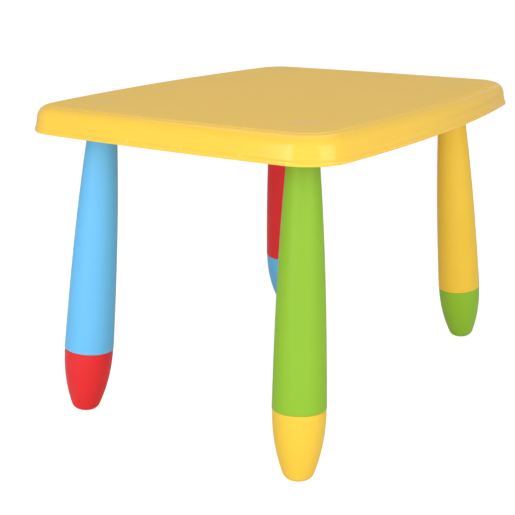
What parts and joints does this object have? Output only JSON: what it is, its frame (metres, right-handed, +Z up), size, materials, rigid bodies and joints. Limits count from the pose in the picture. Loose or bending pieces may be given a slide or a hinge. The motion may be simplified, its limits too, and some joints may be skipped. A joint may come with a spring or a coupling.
{
  "type": "children's table",
  "caption": "Low children's play table: bowed moulded top with a rounded skirt on splayed bat-shaped legs that unscrew.",
  "frame": {"origin": "on the floor, under the middle of the table", "axes": "+Z up, +Y along the table's longer side, +X across it"},
  "size_m": [0.548, 0.682, 0.478],
  "materials": {
    "top_yellow": "satin moulded polypropylene, fine texture on the panel, glossier on the skirt",
    "socket_ring": "plain moulded",
    "plastic_blue": "satin moulded",
    "plastic_green": "satin moulded",
    "plastic_yellow": "satin moulded",
    "plastic_red": "satin moulded"
  },
  "bodies": {
    "table": {"table_top": "top_yellow", "socket_ring_blue": "socket_ring", "socket_ring_green": "socket_ring", "socket_ring_yellow": "socket_ring", "socket_ring_red": "socket_ring"},
    "leg_blue": {"leg_tube_blue": "plastic_blue", "leg_foot_blue": "plastic_red"},
    "leg_green": {"leg_tube_green": "plastic_green", "leg_foot_green": "plastic_yellow"},
    "leg_yellow": {"leg_tube_yellow": "plastic_yellow", "leg_foot_yellow": "plastic_green"},
    "leg_red": {"leg_tube_red": "plastic_red", "leg_foot_red": "plastic_blue"}
  },
  "joints": [
    {"name": "unscrew_blue", "type": "slide", "parent": "table", "child": "leg_blue", "axis": [-0.0577, -0.117, -0.9914], "range_m": [0, 0.025]},
    {"name": "unscrew_green", "type": "slide", "parent": "table", "child": "leg_green", "axis": [0.0577, -0.117, -0.9914], "range_m": [0, 0.025]},
    {"name": "unscrew_yellow", "type": "slide", "parent": "table", "child": "leg_yellow", "axis": [0.0577, 0.117, -0.9914], "range_m": [0, 0.025]},
    {"name": "unscrew_red", "type": "slide", "parent": "table", "child": "leg_red", "axis": [-0.0577, 0.117, -0.9914], "range_m": [0, 0.025]}
  ]
}
